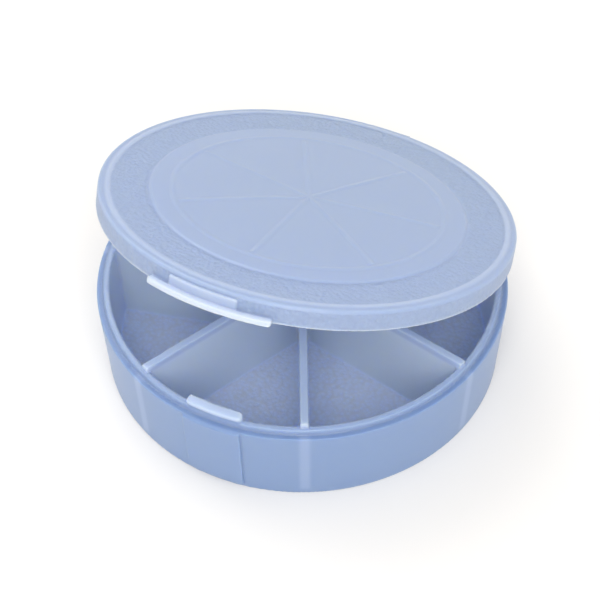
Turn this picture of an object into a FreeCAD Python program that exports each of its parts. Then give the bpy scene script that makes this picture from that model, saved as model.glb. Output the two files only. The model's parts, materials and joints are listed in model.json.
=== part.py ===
"""Round seven-compartment pill organizer: a tray with radial dividers and a hinged snap lid.

Frame: origin at the centre of the tray's flat base, +Z up, latch at -Y, hinge at +Y with its axis
along X. Millimetres. The lid's pieces are drawn closed and then turned open about the hinge axis.
"""
import FreeCAD, Part
import Sketcher
import math
import os

DIMENSIONS = [
    # tray
    ("tray_radius", 43.0, "outer radius of the wall at the shoulder"),
    ("base_radius", 41.7, "outer radius of the wall at the base"),
    ("shoulder_height", 18.6, "height of the ledge that the wall ends in"),
    ("foot_round", 0.6, "rounding of the wall's lower outer edge"),
    ("inner_foot_radius", 39.2, "inner radius of the wall at the floor"),
    ("inner_rim_radius", 40.2, "inner radius of the wall at the rim"),
    ("floor_thickness", 1.2, "thickness of the floor"),
    ("rim_radius", 41.6, "outer radius of the rim, inside the ledge"),
    ("rim_height", 19.8, "height of the rim's top"),
    ("rim_round", 0.3, "rounding of the rim's outer edge"),
    # dividers
    ("divider_count", 7, "number of compartments, and of dividers"),
    ("divider_thickness", 1.7, "thickness of a divider"),
    ("divider_height", 21.1, "height of a divider's top"),
    ("divider_reach", 41.0, "radius that a divider reaches over the rim"),
    ("end_gap", 0.01, "gap that keeps a divider's square end out of the round wall"),
    # catch on the tray
    ("catch_angle", 17.0, "angle that the catch and the boss below it span"),
    ("catch_height", 22.25, "height of the catch's inner top edge"),
    ("lip_radius", 42.1, "radius of the catch's lip"),
    ("lip_top", 21.7, "height of the lip's top edge"),
    ("lip_bottom", 20.8, "height of the lip's lower edge"),
    ("lip_root", 20.4, "height where the lip meets the rim's outer face"),
    ("boss_proud", 0.5, "how far the boss below the catch stands out of the wall"),
    ("boss_foot", 1.0, "height of the boss's lower edge"),
    # lid, as closed
    ("lid_radius", 42.95, "outer radius of the lid"),
    ("skirt_inner", 41.95, "inner radius of the skirt"),
    ("skirt_bottom", 19.0, "height of the skirt's lower edge"),
    ("panel_bottom", 22.55, "height of the panel's underside"),
    ("panel_top", 23.4, "height of the panel's top face"),
    ("lid_round", 0.5, "rounding of the panel's outer edge"),
    ("ridge_inner", 40.3, "inner radius of the raised edge ridge"),
    ("ridge_outer", 41.8, "outer radius of the raised edge ridge"),
    ("ridge_rise", 0.2, "rise of the edge ridge over the panel"),
    ("disc_radius", 32.9, "radius of the raised centre disc"),
    ("disc_rise", 0.3, "rise of the disc's edge over the panel"),
    ("crown_rise", 1.1, "rise of the disc's centre over the panel"),
    ("emboss_rise", 0.15, "rise of the ring and the day lines over the disc"),
    ("ring_radius", 28.0, "middle radius of the raised ring"),
    ("emboss_width", 0.7, "width of the ring and of the day lines"),
    ("pocket_angle", 20.0, "angle that the recess for the catch, and the bulge over it, span"),
    ("pocket_turn", -4.0, "how far the bulge is turned from the middle of the catch"),
    ("pocket_inner", 42.4, "inner radius of the skirt at the recess"),
    ("pocket_radius", 43.5, "outer radius of the bulge"),
    ("pocket_top", 22.4, "height of the bulge's top edge"),
    ("tab_angle", 35.0, "angle that the thumb tab spans"),
    ("tab_turn", -2.2, "how far the tab is turned from the middle of the catch"),
    ("tab_radius", 44.9, "outer radius of the thumb tab"),
    ("tab_top", 20.3, "height of the thumb tab's top"),
    ("tab_round", 0.8, "rounding of the thumb tab's outer corners"),
    # hinge
    ("hinge_reach", 46.0, "distance of the hinge axis behind the centre"),
    ("hinge_height", 20.9, "height of the hinge axis"),
    ("leaf_width", 10.0, "width of the two hinge leaves"),
    ("leaf_gap", 0.25, "height of each leaf's edge from the hinge axis"),
    ("leaf_inset", 0.15, "distance of the leaves' outer faces from the hinge axis"),
    ("leaf_foot", 16.2, "height where the tray's leaf runs out into the wall"),
    ("leaf_slope", 2.2, "rise of the leaf's slanted underside"),
    ("leaf_clearance", 0.25, "gap between the tray's leaf and the closed skirt"),
    ("leaf_top", 21.6, "height of the top of the closed lid's leaf"),
    ("web_width", 9.0, "width of the living hinge's web"),
    ("web_cover", 0.35, "length of web that lies on each leaf"),
    ("open_angle", 19.33, "angle that the lid stands open at rest"),
    # tools
    ("overrun", 1.0, "how far a cutting outline reaches past what it cuts"),
]

DOC = FreeCAD.newDocument("pill_organizer")
DIMS = DOC.addObject("Spreadsheet::Sheet", "Dims")
for row, (name, value, meaning) in enumerate(DIMENSIONS, start=1):
    DIMS.set("A%d" % row, name)
    DIMS.set("B%d" % row, str(value))
    DIMS.setAlias("B%d" % row, name)
    DIMS.set("C%d" % row, meaning)
DOC.recompute()

LATCH_AZIMUTH = -90.0
HINGE_AZIMUTH = 90.0
NODES = []


def number(expression):
    """The value of an expression in the sheet's names."""
    return float(DIMS.evalExpression(dims(expression)))


def dims(expression):
    """The expression with each of the sheet's names led by the sheet's own."""
    words = expression.split()
    names = {name for name, value, meaning in DIMENSIONS}
    return " ".join("Dims." + word if word in names else word for word in words)


def turned(azimuth, is_lid):
    """A sub-part's placement: turned about Z, and with the lid opened about the hinge axis."""
    about_z = FreeCAD.Placement(FreeCAD.Vector(), FreeCAD.Rotation(FreeCAD.Vector(0, 0, 1), azimuth))
    if not is_lid:
        return about_z
    hinge = FreeCAD.Vector(0, number("hinge_reach"), number("hinge_height"))
    opened = FreeCAD.Rotation(FreeCAD.Vector(-1, 0, 0), number("open_angle"))
    return FreeCAD.Placement(FreeCAD.Vector(), opened, hinge).multiply(about_z)


def polygon(body, name, role, corners, crowned=False):
    """A closed sketch on one of the body's origin planes, its corners bound to the sheet.

    With crowned, the side from the last corner to the first is an arc centred on the vertical axis.
    """
    sketch = body.newObject("Sketcher::SketchObject", name)
    plane = next(item for item in body.Origin.OriginFeatures if item.Role == role)
    sketch.AttachmentSupport = [(plane, "")]
    sketch.MapMode = "FlatFace"
    places = [FreeCAD.Vector(number(across), number(up), 0) for across, up in corners]
    count = len(corners)
    for index in range(count):
        begin = places[index]
        end = places[(index + 1) % count]
        if crowned and index == count - 1:
            centre_height = (end.y ** 2 - begin.y ** 2 - begin.x ** 2) / (2 * (end.y - begin.y))
            centre = FreeCAD.Vector(0, centre_height, 0)
            circle = Part.Circle(centre, FreeCAD.Vector(0, 0, 1), end.y - centre_height)
            sketch.addGeometry(Part.Arc(circle, circle.parameter(begin), circle.parameter(end)))
        else:
            sketch.addGeometry(Part.LineSegment(begin, end))
    for index in range(count):
        sketch.addConstraint(Sketcher.Constraint("Coincident", index, 2, (index + 1) % count, 1))
    if crowned:
        sketch.addConstraint(Sketcher.Constraint("PointOnObject", count - 1, 3, -2))
    for index, (across, up) in enumerate(corners):
        bind_corner(sketch, index, "DistanceX", across, places[index].x, -2)
        bind_corner(sketch, index, "DistanceY", up, places[index].y, -1)
    return sketch


def bind_corner(sketch, index, kind, expression, value, axis):
    """Fix one coordinate of a corner: on the axis when it is zero, or bound to the sheet."""
    if abs(value) < 1e-9:
        sketch.addConstraint(Sketcher.Constraint("PointOnObject", index, 1, axis))
        return
    made = sketch.addConstraint(Sketcher.Constraint(kind, -1, 1, index, 1, value))
    sketch.setExpression("Constraints[%d]" % made, dims(expression))


def revolve(label, corners, angle="360", crowned=False):
    """A body turned about the vertical axis from corners given as radius and height."""
    body = DOC.addObject("PartDesign::Body", label)
    profile = polygon(body, label + "_profile", "XZ_Plane", corners, crowned)
    turn = body.newObject("PartDesign::Revolution", label + "_turn")
    turn.Profile = profile
    turn.ReferenceAxis = (profile, ["V_Axis"])
    turn.Midplane = True
    turn.setExpression("Angle", dims(angle))
    body.Tip = turn
    DOC.recompute()
    return body


def extrude(label, role, corners, width):
    """A body padded both ways from one of its origin planes."""
    body = DOC.addObject("PartDesign::Body", label)
    profile = polygon(body, label + "_profile", role, corners)
    pad = body.newObject("PartDesign::Pad", label + "_pad")
    pad.Profile = profile
    pad.SideType = "Symmetric"
    pad.setExpression("Length", dims(width))
    body.Tip = pad
    DOC.recompute()
    return body


def round_edges(body, radius, wanted):
    """Fillet the edges of the body's last feature that the test accepts."""
    base = body.Tip
    names = ["Edge%d" % place for place, edge in enumerate(base.Shape.Edges, start=1) if wanted(edge)]
    if not names:
        raise RuntimeError("no edge to round on " + body.Label)
    fillet = body.newObject("PartDesign::Fillet", body.Label + "_round")
    fillet.Base = (base, names)
    fillet.setExpression("Radius", dims(radius))
    body.Tip = fillet
    DOC.recompute()


def ring_edge(radius, height):
    """A test for the circular edge of this radius at this height."""
    def wanted(edge):
        point = edge.valueAt(edge.FirstParameter)
        flat = edge.BoundBox.ZLength < 1e-6
        return (flat and abs(point.z - number(height)) < 1e-6
                and abs(math.hypot(point.x, point.y) - number(radius)) < 1e-6)
    return wanted


def upright_edge(radius):
    """A test for the upright edges at this radius."""
    def wanted(edge):
        box = edge.BoundBox
        point = edge.valueAt(edge.FirstParameter)
        return (box.XLength < 1e-6 and box.YLength < 1e-6
                and abs(math.hypot(point.x, point.y) - number(radius)) < 1e-6)
    return wanted


def combined(kind, label, base, tool):
    """A boolean of two document objects."""
    result = DOC.addObject("Part::" + kind, label)
    result.Base = base
    result.Tool = tool
    DOC.recompute()
    return result


def hand_over(piece, node, azimuth=0.0, is_lid=False):
    """Name a finished sub-part and put it in its place."""
    piece.Label = node
    piece.Placement = turned(azimuth, is_lid)
    NODES.append(piece)


def build_tray_shell():
    """Floor, tapered wall and stepped rim."""
    floor = revolve("tray_floor_disc", [
        ("0", "0"),
        ("inner_foot_radius", "0"),
        ("inner_foot_radius", "floor_thickness"),
        ("0", "floor_thickness")])
    hand_over(floor, "tray_floor")
    wall = revolve("tray_wall_ring", [
        ("inner_foot_radius", "0"),
        ("base_radius", "0"),
        ("tray_radius", "shoulder_height"),
        ("inner_rim_radius", "shoulder_height"),
        ("inner_foot_radius", "floor_thickness")])
    round_edges(wall, "foot_round", ring_edge("base_radius", "0"))
    hand_over(wall, "tray_wall")
    rim = revolve("rim_ring", [
        ("inner_rim_radius", "shoulder_height"),
        ("rim_radius", "shoulder_height"),
        ("rim_radius", "rim_height"),
        ("inner_rim_radius", "rim_height")])
    round_edges(rim, "rim_round", ring_edge("rim_radius", "rim_height"))
    hand_over(rim, "rim_lip")


def build_dividers():
    """A seven-sided hub whose faces are one divider thick, and a divider on each face."""
    side = number("divider_thickness")
    count = int(number("divider_count"))
    step = 360.0 / count
    hub = DOC.addObject("Part::Prism", "hub_prism")
    hub.setExpression("Polygon", dims("divider_count"))
    hub.setExpression("Circumradius", dims("divider_thickness / 2") + " / sin(180 / Dims.divider_count)")
    hub.setExpression("Height", dims("divider_height - floor_thickness"))
    DOC.recompute()
    hub_face = side / 2 / math.tan(math.pi / count)
    lifted = FreeCAD.Placement(FreeCAD.Vector(0, 0, number("floor_thickness")), FreeCAD.Rotation())
    hand_over(hub, "divider_hub", HINGE_AZIMUTH + step / 2)
    hub.Placement = lifted.multiply(hub.Placement)
    for index in range(count):
        label = "divider_%d" % (index + 1)
        divider = extrude(label + "_rib", "XZ_Plane", [
            ("%.6f" % hub_face, "floor_thickness"),
            ("inner_foot_radius - end_gap", "floor_thickness"),
            ("inner_rim_radius - end_gap", "shoulder_height"),
            ("inner_rim_radius - end_gap", "rim_height"),
            ("divider_reach", "rim_height"),
            ("divider_reach", "divider_height"),
            ("%.6f" % hub_face, "divider_height")], "divider_thickness")
        hand_over(divider, label, HINGE_AZIMUTH + index * step)


def build_catch():
    """The snap catch on the rim, and the boss below it on the wall."""
    catch = revolve("catch_bar", [
        ("inner_rim_radius", "rim_height"),
        ("rim_radius - rim_round", "rim_height"),
        ("rim_radius", "lip_root"),
        ("lip_radius", "lip_bottom"),
        ("lip_radius", "lip_top"),
        ("inner_rim_radius", "catch_height")], "catch_angle")
    hand_over(catch, "latch_catch", LATCH_AZIMUTH)
    slope = "( tray_radius - base_radius ) / shoulder_height"
    boss = revolve("boss_panel", [
        ("base_radius + %s * boss_foot" % slope, "boss_foot"),
        ("base_radius + %s * boss_foot + boss_proud" % slope, "boss_foot + boss_proud"),
        ("tray_radius + boss_proud", "shoulder_height - boss_proud"),
        ("tray_radius", "shoulder_height")], "catch_angle")
    hand_over(boss, "latch_boss", LATCH_AZIMUTH)


def build_lid():
    """Panel, edge ridge, skirt with the recess for the catch, bulge over it, and thumb tab."""
    panel = revolve("lid_plate", [
        ("0", "panel_bottom"),
        ("lid_radius", "panel_bottom"),
        ("lid_radius", "panel_top"),
        ("0", "panel_top")])
    round_edges(panel, "lid_round", ring_edge("lid_radius", "panel_top"))
    hand_over(panel, "lid_panel", is_lid=True)
    ridge = revolve("lid_edge_ring", [
        ("ridge_inner", "panel_top"),
        ("ridge_outer", "panel_top"),
        ("ridge_outer - ridge_rise", "panel_top + ridge_rise"),
        ("ridge_inner + ridge_rise", "panel_top + ridge_rise")])
    hand_over(ridge, "lid_edge_ridge", is_lid=True)
    skirt = revolve("lid_skirt_ring", [
        ("skirt_inner", "skirt_bottom"),
        ("lid_radius", "skirt_bottom"),
        ("lid_radius", "panel_bottom"),
        ("skirt_inner", "panel_bottom")])
    cut_recess(skirt)
    hand_over(skirt, "lid_skirt", LATCH_AZIMUTH, is_lid=True)
    pocket = revolve("pocket_wall", [
        ("lid_radius", "tab_top"),
        ("pocket_radius", "tab_top"),
        ("pocket_radius", "pocket_top - boss_proud"),
        ("lid_radius", "pocket_top")], "pocket_angle")
    hand_over(pocket, "lid_latch_pocket", LATCH_AZIMUTH + number("pocket_turn"), is_lid=True)
    tab = revolve("tab_plate", [
        ("lid_radius", "skirt_bottom"),
        ("tab_radius", "skirt_bottom"),
        ("tab_radius", "tab_top"),
        ("lid_radius", "tab_top")], "tab_angle")
    round_edges(tab, "tab_round", upright_edge("tab_radius"))
    hand_over(tab, "lid_thumb_tab", LATCH_AZIMUTH + number("tab_turn"), is_lid=True)


def cut_recess(skirt):
    """Hollow the skirt from inside, where the catch's lip passes."""
    before = skirt.Shape.Volume
    recess = polygon(skirt, "recess_profile", "XZ_Plane", [
        ("skirt_inner - overrun", "skirt_bottom - overrun"),
        ("pocket_inner", "skirt_bottom - overrun"),
        ("pocket_inner", "panel_bottom + overrun"),
        ("skirt_inner - overrun", "panel_bottom + overrun")])
    groove = skirt.newObject("PartDesign::Groove", "recess_groove")
    groove.Profile = recess
    groove.ReferenceAxis = (recess, ["V_Axis"])
    groove.Midplane = True
    groove.setExpression("Angle", dims("pocket_angle"))
    skirt.Tip = groove
    DOC.recompute()
    if skirt.Shape.Volume >= before:
        raise RuntimeError("the recess groove cuts nothing")


def dome(label, rise):
    """A solid from the panel's top up to a shallow crown, with this much added to its height."""
    return revolve(label, [
        ("0", "panel_top + crown_rise + " + rise),
        ("0", "panel_top"),
        ("disc_radius", "panel_top"),
        ("disc_radius", "panel_top + disc_rise + " + rise)], crowned=True)


def build_lid_disc():
    """The crowned disc, with a raised ring and one raised line in the middle of each compartment."""
    hand_over(dome("disc_dome", "0"), "lid_disc", is_lid=True)
    count = int(number("divider_count"))
    step = 360.0 / count
    tube = revolve("ring_tube", [
        ("ring_radius - emboss_width / 2", "panel_top"),
        ("ring_radius + emboss_width / 2", "panel_top"),
        ("ring_radius + emboss_width / 2", "panel_top + crown_rise + overrun"),
        ("ring_radius - emboss_width / 2", "panel_top + crown_rise + overrun")])
    hand_over(embossed("ring", tube), "day_ring", is_lid=True)
    hub_face = "emboss_width / 2 / tan( 180 / divider_count )"
    for index in range(count):
        bar = extrude("line_%d_bar" % (index + 1), "XZ_Plane", [
            (hub_face, "panel_top"),
            ("ring_radius - emboss_width", "panel_top"),
            ("ring_radius - emboss_width", "panel_top + crown_rise + overrun"),
            (hub_face, "panel_top + crown_rise + overrun")], "emboss_width")
        line = embossed("line_%d" % (index + 1), bar)
        hand_over(line, "day_line_%d" % (index + 1), LATCH_AZIMUTH + index * step, is_lid=True)


def embossed(label, outline):
    """The part of an outline that stands out of the disc by the embossing's rise."""
    raised = combined("Common", label + "_raised", dome(label + "_high_dome", "emboss_rise"), outline)
    return combined("Cut", label + "_emboss", raised, dome(label + "_low_dome", "0"))


def build_hinge():
    """A leaf on the tray, a leaf on the lid, and the thin web that joins them."""
    outer = "hinge_reach - leaf_inset"
    tray_leaf = extrude("tray_leaf_block", "YZ_Plane", [
        ("base_radius - overrun", "leaf_foot"),
        ("tray_radius", "leaf_foot"),
        (outer, "leaf_foot + leaf_slope"),
        (outer, "hinge_height - leaf_gap"),
        ("base_radius - overrun", "hinge_height - leaf_gap")], "leaf_width")
    tray_space = revolve("tray_leaf_space", [
        ("0", "0"),
        ("base_radius", "0"),
        ("tray_radius", "shoulder_height"),
        ("tray_radius + leaf_clearance", "shoulder_height"),
        ("tray_radius + leaf_clearance", "hinge_height"),
        ("0", "hinge_height")])
    hand_over(combined("Cut", "tray_leaf_cut", tray_leaf, tray_space), "tray_hinge_leaf")
    lid_leaf = extrude("lid_leaf_block", "YZ_Plane", [
        ("base_radius", "hinge_height + leaf_gap"),
        (outer, "hinge_height + leaf_gap"),
        (outer, "leaf_top"),
        ("base_radius", "leaf_top")], "leaf_width")
    lid_space = revolve("lid_leaf_space", [
        ("0", "0"),
        ("lid_radius", "0"),
        ("lid_radius", "panel_top + overrun"),
        ("0", "panel_top + overrun")])
    hand_over(combined("Cut", "lid_leaf_cut", lid_leaf, lid_space), "lid_hinge_leaf", is_lid=True)
    web = extrude("hinge_web", "YZ_Plane", web_corners(), "web_width")
    hand_over(web, "living_hinge")


def web_corners():
    """The web's outline: a strip on the tray's leaf, the bend, and a strip on the open lid's leaf."""
    tray_part = [
        ("hinge_reach - leaf_inset", "hinge_height - leaf_gap - web_cover"),
        ("hinge_reach + leaf_inset", "hinge_height - leaf_gap - web_cover"),
        ("hinge_reach + leaf_inset", "hinge_height - leaf_gap")]
    lid_part = [
        opened_corner("leaf_inset", "leaf_gap"),
        opened_corner("leaf_inset", "( leaf_gap + web_cover )"),
        opened_corner("-1 * leaf_inset", "( leaf_gap + web_cover )"),
        opened_corner("-1 * leaf_inset", "leaf_gap")]
    return tray_part + lid_part + [("hinge_reach - leaf_inset", "hinge_height - leaf_gap")]


def opened_corner(out, up):
    """A corner given from the hinge axis on the closed lid, turned to the open lid."""
    across = "hinge_reach + %s * cos( open_angle ) + %s * sin( open_angle )" % (out, up)
    height = "hinge_height - %s * sin( open_angle ) + %s * cos( open_angle )" % (out, up)
    return across, height


def check_and_export():
    """Stop on a failed object or a bad shape, then write one file for each sub-part."""
    DOC.recompute()
    for item in DOC.Objects:
        if "Invalid" in item.State or "Error" in item.State:
            raise RuntimeError("%s failed: %s" % (item.Label, item.State))
    os.makedirs("parts", exist_ok=True)
    for node in NODES:
        if node.Shape.isNull() or not node.Shape.isValid():
            raise RuntimeError("bad shape: " + node.Label)
        node.Shape.exportStep("parts/%s.step" % node.Label)
        print("%-18s %9.2f mm3 %d solid" % (node.Label, node.Shape.Volume, len(node.Shape.Solids)))


build_tray_shell()
build_dividers()
build_catch()
build_lid()
build_lid_disc()
build_hinge()
check_and_export()
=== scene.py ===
"""Looks of the round seven-compartment pill organizer.

The tray and the lid are each one moulding of milky polypropylene, so each is meshed here as one
smooth closed skin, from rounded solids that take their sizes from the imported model. Lengths inside
the shape functions are millimetres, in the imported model's frame, with the lid closed.
"""
import json
import math

import bpy
import numpy as np
from mathutils import Matrix, Vector


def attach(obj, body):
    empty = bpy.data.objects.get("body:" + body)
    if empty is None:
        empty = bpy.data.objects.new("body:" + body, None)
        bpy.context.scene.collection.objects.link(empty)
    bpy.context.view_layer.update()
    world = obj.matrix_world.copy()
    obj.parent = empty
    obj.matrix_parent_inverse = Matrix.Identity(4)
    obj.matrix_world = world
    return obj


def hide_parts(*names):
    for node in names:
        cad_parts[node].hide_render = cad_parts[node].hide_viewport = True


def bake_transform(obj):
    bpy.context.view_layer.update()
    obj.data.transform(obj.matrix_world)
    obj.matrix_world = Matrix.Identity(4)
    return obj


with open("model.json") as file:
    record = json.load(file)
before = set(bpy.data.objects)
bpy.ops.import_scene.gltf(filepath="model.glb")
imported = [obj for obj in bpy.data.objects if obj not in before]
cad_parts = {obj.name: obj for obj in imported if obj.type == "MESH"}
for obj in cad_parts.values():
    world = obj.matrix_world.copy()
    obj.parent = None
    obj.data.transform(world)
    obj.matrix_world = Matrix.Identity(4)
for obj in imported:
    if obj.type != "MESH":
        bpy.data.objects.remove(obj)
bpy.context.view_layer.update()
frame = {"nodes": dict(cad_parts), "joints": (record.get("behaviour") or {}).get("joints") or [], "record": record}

MM = 0.001
JOINT = frame["joints"][0]
BODIES = frame["record"]["behaviour"]["bodies"]
OPEN = math.radians(-JOINT["range_deg"][0])
HINGE_Y = JOINT["pos_m"][1] / MM
HINGE_Z = JOINT["pos_m"][2] / MM
COUNT = sum(1 for node in BODIES["tray"] if node.startswith("divider_")) - 1
STEP = 2 * math.pi / COUNT

# sizes that a node's reach doesn't give, in millimetres
WALL_FOOT = 41.7
DIVIDER_REACH = 41.0
LIP_TOP = 21.7
LIP_BOTTOM = 20.8
LIP_ROOT = 20.4
LEAF_SLOPE = 2.2
LEAF_CLEARANCE = 0.25
RECESS_OUTER = 42.4
DISC_RISE = 0.3
EMBOSS_RISE = 0.15
OVERLAP = 0.4

# rounding of edges and corners, in millimetres
FOOT_ROUND = 0.6
EDGE_ROUND = 0.28
POCKET_FILLET = 0.55
HUB_ROUND = 2.4
LIP_ROUND = 0.3
CATCH_CORNER = 0.9
BOSS_FILLET = 0.2
LID_ROUND = 0.5
BULGE_ROUND = 0.45
BULGE_CORNER = 0.4
TAB_CORNER = 0.8
TAB_EDGE = 0.35
HOLLOW_ROUND = 0.35
LEAF_CORNER = 0.3
LEAF_EDGE = 0.12
SMALL_FILLET = 0.2
JOINT_FILLET = 0.25

# meshing, in millimetres
TRAY_STEP = 0.42
LID_STEP = 0.36
MARGIN = 1.2


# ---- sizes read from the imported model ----

def turn_lid(points, angle):
    """Points turned about the hinge axis: a positive angle opens the lid."""
    back = points[:, 1] - HINGE_Y
    up = points[:, 2] - HINGE_Z
    turned = points.copy()
    turned[:, 1] = HINGE_Y + back * math.cos(angle) + up * math.sin(angle)
    turned[:, 2] = HINGE_Z + up * math.cos(angle) - back * math.sin(angle)
    return turned


class Measure:
    """A node's reach in millimetres with the lid closed: radius, height, width and half angle."""

    def __init__(self, node):
        mesh = frame["nodes"][node].data
        flat = np.empty(len(mesh.vertices) * 3)
        mesh.vertices.foreach_get("co", flat)
        points = flat.reshape(-1, 3) / MM
        if node in BODIES["lid"]:
            points = turn_lid(points, -OPEN)
        radius, angles = polar(points[:, 0], points[:, 1])
        self.inner = radius.min()
        self.outer = radius.max()
        self.bottom = points[:, 2].min()
        self.top = points[:, 2].max()
        self.half_width = points[:, 0].max()
        self.back = points[:, 1].max()
        self.middle_angle = (angles.max() + angles.min()) / 2
        self.half_angle = (angles.max() - angles.min()) / 2


def polar(x, y):
    """Radius, and the angle from the latch at -Y."""
    return np.hypot(x, y), np.arctan2(x, -y)


FLOOR = Measure("tray_floor")
WALL = Measure("tray_wall")
RIM = Measure("rim_lip")
DIVIDER = Measure("divider_1")
CATCH = Measure("latch_catch")
BOSS = Measure("latch_boss")
TRAY_LEAF = Measure("tray_hinge_leaf")
PANEL = Measure("lid_panel")
SKIRT = Measure("lid_skirt")
RIDGE = Measure("lid_edge_ridge")
DISC = Measure("lid_disc")
DAY_RING = Measure("day_ring")
DAY_LINE = Measure("day_line_1")
BULGE = Measure("lid_latch_pocket")
TAB = Measure("lid_thumb_tab")
LID_LEAF = Measure("lid_hinge_leaf")
WEB = Measure("living_hinge")


# ---- rounded solids as distance functions: negative inside ----

def meet(a, b, radius):
    """The common part of two solids, with its edge rounded."""
    corner = np.hypot(np.maximum(radius + a, 0), np.maximum(radius + b, 0))
    return np.minimum(-radius, np.maximum(a, b)) + corner


def join(a, b, radius):
    """Two solids together, with a fillet where they meet."""
    return -meet(-a, -b, radius)


def slab(value, low, high, radius):
    """The space between two values of a coordinate."""
    return meet(low - value, value - high, radius)


def sloped(radius, z, start, end):
    """Signed distance to the line from start to end, both (radius, height), positive outside."""
    across = end[0] - start[0]
    up = end[1] - start[1]
    return ((radius - start[0]) * up - (z - start[1]) * across) / math.hypot(across, up)


def smooth(value, low, high):
    """0 below low, 1 above high, and a smooth step between."""
    share = np.clip((value - low) / (high - low), 0, 1)
    return share * share * (3 - 2 * share)


def nearest_divider(angle):
    """The angle from the middle of the nearest divider; one of them points at the hinge."""
    from_hinge = angle - math.pi
    return from_hinge - STEP * np.round(from_hinge / STEP)


def tray_shape(x, y, z):
    """Tapered wall, stepped rim, seven compartments, dividers, catch, boss and hinge leaf."""
    radius, angle = polar(x, y)
    outer = sloped(radius, z, (WALL_FOOT, 0), (WALL.outer, WALL.top))
    body = meet(meet(outer, -z, FOOT_ROUND), z - WALL.top, EDGE_ROUND)
    neck = meet(radius - RIM.outer, z - RIM.top, EDGE_ROUND)
    body = join(body, np.maximum(neck, -z), EDGE_ROUND)
    across = radius * np.sin(nearest_divider(angle))
    half = DIVIDER.half_width
    inner = sloped(radius, z, (FLOOR.outer, FLOOR.top), (RIM.inner, RIM.bottom))
    pocket = meet(inner, FLOOR.top - z, POCKET_FILLET)
    pocket = meet(pocket, half - np.abs(across), POCKET_FILLET)
    pocket = meet(pocket, HUB_ROUND - radius, POCKET_FILLET)
    body = meet(body, -pocket, EDGE_ROUND)
    rib = meet(np.abs(across) - half, z - DIVIDER.top, EDGE_ROUND)
    rib = meet(rib, radius - DIVIDER_REACH, EDGE_ROUND)
    body = np.minimum(body, np.maximum(rib, FLOOR.top - z))
    body = np.minimum(body, catch_shape(radius, angle, z))
    body = join(body, boss_shape(radius, angle, z, outer), BOSS_FILLET)
    return join(body, tray_leaf_shape(x, y, z, radius), EDGE_ROUND)


def catch_shape(radius, angle, z):
    """The snap catch: an upright bar on the rim with a lip that points outwards."""
    side = (np.abs(angle) - CATCH.half_angle) * RIM.outer
    fall = (CATCH.top - LIP_TOP) / (CATCH.outer - RIM.inner)
    top = (z - CATCH.top) + (radius - RIM.inner) * fall
    under = sloped(radius, z, (RIM.outer, LIP_ROOT), (CATCH.outer, LIP_BOTTOM))
    head = meet(radius - CATCH.outer, under, LIP_ROUND)
    head = meet(head, top, LIP_ROUND)
    stem = np.maximum(radius - RIM.outer, z - LIP_BOTTOM)
    bar = np.minimum(head, stem)
    bar = meet(bar, RIM.inner - radius, EDGE_ROUND)
    bar = meet(bar, side, CATCH_CORNER)
    return np.maximum(bar, RIM.bottom - z)


def boss_shape(radius, angle, z, outer):
    """The slightly proud panel below the catch."""
    proud = BOSS.outer - WALL.outer
    side = (np.abs(angle) - BOSS.half_angle) * WALL.outer
    panel = meet(outer - proud, side, BOSS_FILLET)
    panel = meet(panel, z - (WALL.top - BOSS_FILLET), proud)
    panel = meet(panel, BOSS.bottom - z, proud)
    return np.maximum(panel, RIM.outer - radius)


def tray_leaf_shape(x, y, z, radius):
    """The tray's hinge leaf, a bracket behind the wall."""
    block = meet(np.abs(x) - TRAY_LEAF.half_width, y - TRAY_LEAF.back, EDGE_ROUND)
    block = meet(block, z - TRAY_LEAF.top, EDGE_ROUND)
    foot = (WALL.outer, TRAY_LEAF.bottom)
    block = meet(block, sloped(y, z, foot, (TRAY_LEAF.back, TRAY_LEAF.bottom + LEAF_SLOPE)), EDGE_ROUND)
    inner = np.where(z > WALL.top, WALL.outer + LEAF_CLEARANCE, RIM.outer) - radius
    block = meet(block, inner, EDGE_ROUND / 2)
    return np.maximum(block, -y)


def lid_shape(x, y, z):
    """Panel, skirt with the recess for the catch, bulge over it, thumb tab and hinge leaf."""
    radius, angle = polar(x, y)
    body = meet(radius - PANEL.outer, z - lid_top(radius, angle), LID_ROUND)
    side = (np.abs(angle - BULGE.middle_angle) - BULGE.half_angle) * PANEL.outer
    bulge = meet(radius - BULGE.outer, z - BULGE.top, BULGE_ROUND)
    bulge = meet(bulge, side, BULGE_CORNER)
    body = join(body, np.maximum(bulge, TAB.bottom - z), SMALL_FILLET)
    body = meet(body, SKIRT.bottom - z, SMALL_FILLET)
    recess_side = (np.abs(angle) - BULGE.half_angle) * PANEL.outer
    hollow = np.minimum(radius - SKIRT.inner, np.maximum(radius - RECESS_OUTER, recess_side))
    hollow = meet(hollow, z - PANEL.bottom, HOLLOW_ROUND)
    body = meet(body, -hollow, SMALL_FILLET)
    tab_side = (np.abs(angle - TAB.middle_angle) - TAB.half_angle) * TAB.outer
    tab = meet(radius - TAB.outer, tab_side, TAB_CORNER)
    tab = meet(tab, slab(z, TAB.bottom, TAB.top, TAB_EDGE), TAB_EDGE)
    body = join(body, np.maximum(tab, SKIRT.outer - OVERLAP - radius), JOINT_FILLET)
    leaf = meet(np.abs(x) - LID_LEAF.half_width, y - LID_LEAF.back, LEAF_CORNER)
    leaf = meet(leaf, slab(z, LID_LEAF.bottom, LID_LEAF.top, LEAF_EDGE), LEAF_EDGE)
    leaf = np.maximum(leaf, np.maximum(SKIRT.outer - OVERLAP - radius, -y))
    return join(body, leaf, JOINT_FILLET)


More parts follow.
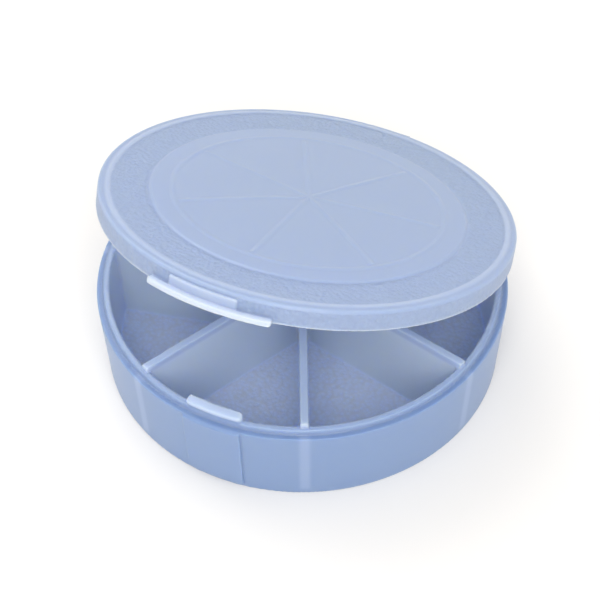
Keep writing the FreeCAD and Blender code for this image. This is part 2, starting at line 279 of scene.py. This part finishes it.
def lid_top(radius, angle):
    """Height of the lid's top: panel, rounded edge ridge, crowned disc, raised ring and lines."""
    middle = (RIDGE.inner + RIDGE.outer) / 2
    half = (RIDGE.outer - RIDGE.inner) / 2
    ridge = np.clip(1 - ((radius - middle) / half) ** 2, 0, 1) * (RIDGE.top - PANEL.top)
    disc = smooth(-radius, -DISC.outer, -DISC.outer + 0.8)
    crowning = DISC.top - PANEL.top - DISC_RISE
    crown = DISC_RISE + crowning * np.clip(1 - (radius / DISC.outer) ** 2, 0, 1)
    from_latch = angle - STEP * np.round(angle / STEP)
    lines = softened(np.abs(radius * np.sin(from_latch)), DAY_LINE.half_width)
    lines = lines * smooth(-radius, -DAY_LINE.outer, -DAY_LINE.outer + 0.5)
    ring_middle = (DAY_RING.inner + DAY_RING.outer) / 2
    ring_half = (DAY_RING.outer - DAY_RING.inner) / 2
    ring = softened(np.abs(radius - ring_middle), ring_half)
    return PANEL.top + ridge + disc * crown + EMBOSS_RISE * np.maximum(lines, ring)


def softened(across, half):
    """The profile of a raised line this far to each side, with soft shoulders."""
    return smooth(-across, -half - 0.5, -half + 0.3)


# ---- meshing: one vertex in each cell that the surface crosses, moved onto the surface ----

CORNERS = [(i, j, k) for i in (0, 1) for j in (0, 1) for k in (0, 1)]
CELL_EDGES = [(a, b) for a in range(8) for b in range(a + 1, 8)
              if sum(abs(p - q) for p, q in zip(CORNERS[a], CORNERS[b])) == 1]


def sample(shape, axes):
    """The shape's value at every grid point, one slice of the grid at a time."""
    across, up = np.meshgrid(axes[1], axes[2], indexing="ij")
    slices = [shape(np.full_like(across, x), across, up) for x in axes[0]]
    return np.stack(slices)


def crossing_cells(values, axes):
    """The cells that the surface crosses, numbered, and a first point in each."""
    inside = values < 0
    parts = [inside[i:inside.shape[0] - 1 + i, j:inside.shape[1] - 1 + j, k:inside.shape[2] - 1 + k]
             for i, j, k in CORNERS]
    count = sum(part.astype(np.int8) for part in parts)
    cells = np.argwhere((count > 0) & (count < 8))
    number = np.full(count.shape, -1, dtype=np.int64)
    number[tuple(cells.T)] = np.arange(len(cells))
    corner_values = np.stack([values[tuple((cells + corner).T)] for corner in CORNERS], axis=1)
    total = np.zeros((len(cells), 3))
    crossings = np.zeros(len(cells))
    for a, b in CELL_EDGES:
        first = corner_values[:, a]
        second = corner_values[:, b]
        crossed = (first < 0) != (second < 0)
        share = np.where(crossed, first / np.where(crossed, first - second, 1), 0)
        start = np.array(CORNERS[a], dtype=float)
        along = np.array(CORNERS[b], dtype=float) - start
        total += crossed[:, None] * (start + share[:, None] * along)
        crossings += crossed
    spacing = np.array([axis[1] - axis[0] for axis in axes])
    origin = np.array([axis[0] for axis in axes])
    return number, origin + (cells + total / crossings[:, None]) * spacing


def crossing_quads(values, number):
    """A quad round every grid edge that the surface crosses."""
    quads = []
    for axis in range(3):
        order = [axis, (axis + 1) % 3, (axis + 2) % 3]
        inside = np.transpose(values < 0, order)
        cells = np.transpose(number, order)
        low = inside[:-1, 1:-1, 1:-1]
        high = inside[1:, 1:-1, 1:-1]
        around = [cells[:, :-1, :-1], cells[:, 1:, :-1], cells[:, 1:, 1:], cells[:, :-1, 1:]]
        ring = np.stack(around, axis=-1)
        quads.append(ring[low & ~high])
        quads.append(ring[high & ~low][:, ::-1])
    return np.concatenate(quads)


def gradient(shape, points):
    """The shape's slope at each point."""
    reach = 0.01
    slopes = []
    for axis in range(3):
        shift = np.zeros(3)
        shift[axis] = reach
        ahead = shape(*(points + shift).T)
        behind = shape(*(points - shift).T)
        slopes.append((ahead - behind) / (2 * reach))
    return np.stack(slopes, axis=1)


def settle(shape, points, most):
    """Points moved straight onto the surface, no further than most."""
    slope = gradient(shape, points)
    square = np.maximum((slope ** 2).sum(axis=1), 0.2)
    move = -(shape(*points.T) / square)[:, None] * slope
    length = np.linalg.norm(move, axis=1, keepdims=True)
    return points + move * np.minimum(1, most / np.maximum(length, 1e-9))


def skin(shape, low, high, step, rounds=4):
    """Points and quads of the shape's surface, evenly spread."""
    axes = [np.arange(a, b + step, step) for a, b in zip(low, high)]
    values = sample(shape, axes)
    number, points = crossing_cells(values, axes)
    quads = crossing_quads(values, number)
    sides = np.concatenate([quads[:, [i, (i + 1) % 4]] for i in range(4)])
    pairs = np.unique(np.sort(sides, axis=1), axis=0)
    ends = np.concatenate([pairs[:, 0], pairs[:, 1]])
    others = np.concatenate([pairs[:, 1], pairs[:, 0]])
    degree = np.bincount(ends, minlength=len(points))[:, None]
    points = settle(shape, points, step / 2)
    for _ in range(rounds):
        total = [np.bincount(ends, points[others, axis], len(points)) for axis in range(3)]
        mean = np.stack(total, axis=1) / degree
        points = settle(shape, points + 0.5 * (mean - points), step / 2)
    return settle(shape, points, step / 2), quads


def mesh_object(name, points, quads):
    """A smooth-shaded Blender mesh object from points in millimetres."""
    mesh = bpy.data.meshes.new(name)
    mesh.from_pydata((points * MM).tolist(), [], quads)
    mesh.shade_smooth()
    piece = bpy.data.objects.new(name, mesh)
    bpy.context.scene.collection.objects.link(piece)
    return piece


def unit(vectors):
    """Vectors at length one."""
    return vectors / np.maximum(np.linalg.norm(vectors, axis=1, keepdims=True), 1e-9)


def store(piece, name, values):
    """A value at each vertex, for the material."""
    layer = piece.data.attributes.new(name, "FLOAT", "POINT")
    layer.data.foreach_set("value", np.asarray(values, dtype=np.float32))


# ---- pieces ----

def build_tray():
    """The tray's one skin, in place of its CAD nodes."""
    low = (-WALL.outer - MARGIN, -BOSS.outer - MARGIN, -MARGIN)
    high = (WALL.outer + MARGIN, TRAY_LEAF.back + MARGIN, CATCH.top + MARGIN)
    points, quads = skin(tray_shape, low, high, TRAY_STEP)
    piece = mesh_object("tray_shell", points, quads.tolist())
    piece.data.normals_split_custom_set_from_vertices(unit(gradient(tray_shape, points)).tolist())
    store(piece, "grain", tray_grain(points))
    # the 'inner' value is painted light: a lighter colour in the compartments, on the catch and in faint stripes
    # where dividers meet the wall
    store(piece, "inner", tray_painted_light(points))
    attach(piece, "tray")
    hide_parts(*[node for node in BODIES["tray"] if node != "living_hinge"])
    return piece


def tray_grain(points):
    """Pebbled on the compartments' floors."""
    height = points[:, 2]
    radius = np.hypot(points[:, 0], points[:, 1])
    on_floor = smooth(-height, -FLOOR.top - 0.15, -FLOOR.top - 0.02) * (height > FLOOR.top / 2)
    return on_floor * (radius < FLOOR.outer)


def tray_painted_light(points):
    """Painted light: a lighter colour inside the compartments and on the catch, and a faint painted stripe of
    light on the outer wall where a divider meets it.
    """
    height = points[:, 2]
    radius, angle = polar(points[:, 0], points[:, 1])
    wall_radius = WALL_FOOT + (WALL.outer - WALL_FOOT) * np.clip(height / WALL.top, 0, 1)
    # painted light inside the compartments, standing in for the light that the milky walls and lid let in
    hollow = smooth(wall_radius - radius, 0.9, 2.6) * smooth(height, 0.2, 0.5)
    # less painted light on the rim's top and on the divider tops
    edges = 1 - 0.38 * smooth(height, RIM.top - 0.5, RIM.top)
    # painted light on the catch
    catch = 0.75 * smooth(height, RIM.top + 0.1, RIM.top + 0.6) * (points[:, 1] < -RIM.inner * 0.9)
    across = np.abs(radius * np.sin(nearest_divider(angle)))
    # a faint painted stripe of light on the outer wall where a divider stands behind it
    behind = 0.22 * smooth(-across, -1.6, -0.5) * (1 - hollow) * smooth(height, 0.8, 2.0)
    return np.maximum.reduce([hollow * edges, catch, behind])


def build_lid():
    """The lid's one skin, meshed closed and then turned to where it stands at rest."""
    low = (-TAB.outer - MARGIN, -TAB.outer - MARGIN, SKIRT.bottom - MARGIN)
    high = (TAB.outer + MARGIN, LID_LEAF.back + MARGIN, DISC.top + MARGIN)
    points, quads = skin(lid_shape, low, high, LID_STEP)
    tips = turn_lid(points + unit(gradient(lid_shape, points)), OPEN)
    opened = turn_lid(points, OPEN)
    piece = mesh_object("lid_shell", opened, quads.tolist())
    piece.data.normals_split_custom_set_from_vertices((tips - opened).tolist())
    store(piece, "grain", lid_grain(points))
    # the 'inner' value holds painted light: painted highlights on the lid's edges and a lighter underside
    store(piece, "inner", lid_painted_light(points))
    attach(piece, "lid")
    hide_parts(*BODIES["lid"])
    return piece


def lid_grain(points):
    """Pebbled on the flat band round the disc and on the skirt's outside."""
    height = points[:, 2]
    radius = np.hypot(points[:, 0], points[:, 1])
    band = smooth(radius, DISC.outer - 0.4, DISC.outer + 0.6)
    band = band * smooth(-radius, -RIDGE.inner - 0.3, -RIDGE.inner + 0.2) * (height > PANEL.top - 0.2)
    side = smooth(radius, SKIRT.outer - 0.3, SKIRT.outer - 0.1)
    side = side * smooth(-radius, -SKIRT.outer - 0.2, -SKIRT.outer)
    side = side * smooth(-height, -PANEL.top + 0.4, -PANEL.top + 0.8)
    side = side * smooth(height, SKIRT.bottom + 0.3, SKIRT.bottom + 0.7)
    return np.maximum(band, side)


def lid_painted_light(points):
    """Painted light: painted highlights on the tab, the bulge's upper edge, the skirt's lower edge and the ridge,
    and a lighter painted colour underneath.
    """
    height = points[:, 2]
    radius = np.hypot(points[:, 0], points[:, 1])
    # every value here is painted light: under lightens the underside, the rest are painted highlights
    under = 0.2 * smooth(-height, -PANEL.bottom - 0.3, -PANEL.bottom) * (radius < SKIRT.inner)
    tab = 0.7 * smooth(radius, BULGE.outer - 0.1, BULGE.outer + 0.2) * (points[:, 1] < 0)
    bulge = 0.45 * smooth(radius, SKIRT.outer + 0.1, SKIRT.outer + 0.3)
    bulge = bulge * smooth(height, BULGE.top - 0.7, BULGE.top - 0.3)
    lower_edge = 0.9 * smooth(-height, -SKIRT.bottom - 0.3, -SKIRT.bottom - 0.1)
    ridge = 0.22 * smooth(-np.abs(radius - (RIDGE.inner + RIDGE.outer) / 2), -0.8, -0.3)
    ridge = ridge * (height > PANEL.top - 0.1)
    return np.maximum.reduce([under, tab, bulge, lower_edge, ridge])


def build_web():
    """The living hinge: a thin strip on both leaves, with a thinner bend between them."""
    out = WEB.back - HINGE_Y
    gap = HINGE_Z - TRAY_LEAF.top
    cover = TRAY_LEAF.top - WEB.bottom
    levels = np.concatenate([np.linspace(-gap - cover, -gap, 5), np.linspace(-gap, gap, 15)[1:-1],
                             np.linspace(gap, gap + cover, 5)])
    widths = np.linspace(-WEB.half_width, WEB.half_width, 27)
    rows = []
    for level in levels:
        turn = OPEN * min(max((level + gap) / (2 * gap), 0), 1)
        thick = out * (1 - 0.35 * math.exp(-(level / (0.5 * gap)) ** 2))
        for side in (-thick, thick):
            back = HINGE_Y + side * math.cos(turn) + level * math.sin(turn)
            up = HINGE_Z + level * math.cos(turn) - side * math.sin(turn)
            rows.append([(width, back, up) for width in widths])
    grid = np.array(rows).reshape(-1, 3)
    piece = mesh_object("hinge_web", grid, web_quads(len(levels), len(widths)))
    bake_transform(piece)
    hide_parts("living_hinge")
    return piece


def web_quads(levels, count):
    """Faces of a strip whose points lie in rows, an inner and an outer row at each level."""
    quads = []
    for row in range(levels - 1):
        for column in range(count - 1):
            inner = 2 * row * count + column
            outer = inner + count
            quads.append((inner, inner + 2 * count, inner + 2 * count + 1, inner + 1))
            quads.append((outer, outer + 1, outer + 2 * count + 1, outer + 2 * count))
        for column in (0, count - 1):
            corner = 2 * row * count + column
            quad = (corner, corner + count, corner + 3 * count, corner + 2 * count)
            quads.append(quad if column == 0 else quad[::-1])
    for row in (0, 2 * (levels - 1)):
        for column in range(count - 1):
            corner = row * count + column
            quad = (corner, corner + 1, corner + count + 1, corner + count)
            quads.append(quad if row == 0 else quad[::-1])
    return quads


# ---- material ----

def add(material, kind, values=None, links=None, **settings):
    """A node with its settings, its sockets' values and the sockets that feed it."""
    node = material.node_tree.nodes.new(kind)
    for name, value in settings.items():
        setattr(node, name, value)
    for name, value in (values or {}).items():
        node.inputs[name].default_value = value
    for name, source in (links or {}).items():
        material.node_tree.links.new(source, node.inputs[name])
    return node


def polypropylene(name, colour, painted_light_colour, grain_depth, rough, grained_rough, dim, clear):
    """Milky polypropylene: light scatters inside it, its grained areas are moulded pebbly, and a second, lighter
    colour is painted light where the 'inner' value asks for it.
    """
    material = bpy.data.materials.new(name)
    material.use_nodes = True
    place = add(material, "ShaderNodeTexCoord").outputs["Object"]
    grain = add(material, "ShaderNodeAttribute", attribute_name="grain").outputs["Fac"]
    # inner: the amount of painted light at each point
    inner = add(material, "ShaderNodeAttribute", attribute_name="inner").outputs["Fac"]

    pebbles = add(material, "ShaderNodeTexVoronoi", {}, {"Vector": place}, feature="SMOOTH_F1")
    pebbles.inputs["Scale"].default_value = 1150.0
    pebbles.inputs["Smoothness"].default_value = 0.6
    fine = add(material, "ShaderNodeTexNoise", {"Scale": 2600.0, "Detail": 3.0}, {"Vector": place})
    waves = add(material, "ShaderNodeTexNoise", {"Scale": 190.0, "Detail": 2.0}, {"Vector": place})
    height = add(material, "ShaderNodeMath", {1: 0.45},
                 {0: fine.outputs["Fac"], 2: pebbles.outputs["Distance"]}, operation="MULTIPLY_ADD")
    masked = add(material, "ShaderNodeMath", {}, {0: height.outputs[0], 1: grain}, operation="MULTIPLY")
    shade = add(material, "ShaderNodeMath", {}, {0: grain, 1: height.outputs[0]},
                operation="MULTIPLY", use_clamp=True)

    bump = add(material, "ShaderNodeBump", {"Strength": 1.0, "Distance": grain_depth},
               {"Height": masked.outputs[0]})
    uneven = add(material, "ShaderNodeBump", {"Strength": 0.35, "Distance": 0.0001},
                 {"Height": waves.outputs["Fac"], "Normal": bump.outputs["Normal"]})
    roughness = add(material, "ShaderNodeMapRange", {"To Min": rough, "To Max": grained_rough},
                    {"Value": grain})
    # painted light: mix towards the lighter colour by the 'inner' value
    body = add(material, "ShaderNodeMix", {}, {"Factor": inner}, data_type="RGBA")
    body.inputs["A"].default_value = (*colour, 1)
    body.inputs["B"].default_value = (*painted_light_colour, 1)
    pits = add(material, "ShaderNodeMix", {}, {}, data_type="RGBA", blend_type="MULTIPLY")
    pits.inputs["Factor"].default_value = 1.0
    pits.inputs["B"].default_value = (*dim, 1)
    material.node_tree.links.new(body.outputs["Result"], pits.inputs["A"])
    tint = add(material, "ShaderNodeMix", {}, {"Factor": shade.outputs[0]}, data_type="RGBA")
    material.node_tree.links.new(body.outputs["Result"], tint.inputs["A"])
    material.node_tree.links.new(pits.outputs["Result"], tint.inputs["B"])

    shader = material.node_tree.nodes["Principled BSDF"]
    shader.inputs["Subsurface Weight"].default_value = 1.0
    shader.inputs["Subsurface Radius"].default_value = (1.0, 1.15, 1.5)
    shader.inputs["Subsurface Scale"].default_value = 0.0012
    shader.inputs["IOR"].default_value = 1.49
    shader.inputs["Transmission Weight"].default_value = clear
    material.node_tree.links.new(uneven.outputs["Normal"], shader.inputs["Normal"])
    material.node_tree.links.new(roughness.outputs["Result"], shader.inputs["Roughness"])
    material.node_tree.links.new(tint.outputs["Result"], shader.inputs["Base Color"])
    return material


def dress(piece, material):
    """Give a piece its one material."""
    piece.data.materials.clear()
    piece.data.materials.append(material)


# ---- stage, light and camera ----

def build_stage():
    """A wide pale floor, a hair below the tray's base."""
    reach = 3.0
    corners = [(-reach, -reach, 0), (reach, -reach, 0), (reach, reach, 0), (-reach, reach, 0)]
    floor_mesh = bpy.data.meshes.new("floor")
    floor_mesh.from_pydata(corners, [], [(0, 1, 2, 3)])
    floor = bpy.data.objects.new("floor", floor_mesh)
    bpy.context.scene.collection.objects.link(floor)
    floor.location.z = -0.00005
    paper = bpy.data.materials.new("paper")
    paper.use_nodes = True
    shader = paper.node_tree.nodes["Principled BSDF"]
    shader.inputs["Base Color"].default_value = (0.91, 0.885, 0.85, 1)
    shader.inputs["Roughness"].default_value = 0.9
    shader.inputs["Specular IOR Level"].default_value = 0.1
    floor.data.materials.append(paper)


def area_light(name, place, target, size, power):
    """A square soft light that faces the target."""
    lamp = bpy.data.lights.new(name, "AREA")
    lamp.shape = "SQUARE"
    lamp.size = size
    lamp.energy = power
    light = bpy.data.objects.new(name, lamp)
    bpy.context.scene.collection.objects.link(light)
    light.location = place
    light.rotation_euler = (Vector(target) - Vector(place)).to_track_quat("-Z", "Y").to_euler()


def build_light():
    """An even white studio, a soft key from behind on the left, and a softer front light."""
    world = bpy.data.worlds.new("studio")
    bpy.context.scene.world = world
    world.use_nodes = True
    background = world.node_tree.nodes["Background"]
    background.inputs["Color"].default_value = (1, 1, 1, 1)
    background.inputs["Strength"].default_value = 0.80
    area_light("key", (-0.45, 0.25, 0.75), (0, 0, 0.02), 0.6, 2.2)
    area_light("front", (0.30, -0.58, 0.66), (0, 0, 0.02), 0.55, 4.2)


def build_camera():
    """The camera stands to the right of the latch and looks steeply down."""
    azimuth = math.radians(25.7)
    elevation = math.radians(47.79)
    distance = 0.4636
    roll = math.radians(-0.75)
    target = Vector((-0.0005, -0.0002, 0.0122))
    back = Vector((math.sin(azimuth) * math.cos(elevation), -math.cos(azimuth) * math.cos(elevation),
                   math.sin(elevation)))
    lens = bpy.data.cameras.new("camera")
    lens.sensor_width = 36.0
    lens.lens = 131.5
    lens.clip_start = 0.01
    camera = bpy.data.objects.new("camera", lens)
    bpy.context.scene.collection.objects.link(camera)
    facing = (-back).to_track_quat("-Z", "Y").to_matrix().to_4x4()
    place = Matrix.Translation(target + back * distance)
    camera.matrix_world = place @ facing @ Matrix.Rotation(roll, 4, "Z")
    bpy.context.scene.camera = camera


build_camera()
build_stage()
build_light()
tray = build_tray()
lid = build_lid()
web = build_web()
# each material's second colour is its painted-light colour
tray_plastic = polypropylene("tray_polypropylene", (0.27, 0.385, 0.62), (0.68, 0.78, 1.0),
                             grain_depth=0.00022, rough=0.35, grained_rough=0.55,
                             dim=(0.93, 0.87, 0.76), clear=0.2)
lid_plastic = polypropylene("lid_polypropylene", (0.415, 0.51, 0.70), (0.8, 0.86, 1.0),
                            grain_depth=0.00024, rough=0.32, grained_rough=0.5,
                            dim=(0.90, 0.91, 0.92), clear=0.2)
dress(tray, tray_plastic)
dress(lid, lid_plastic)
dress(web, lid_plastic)
bpy.context.scene.view_settings.view_transform = "Standard"
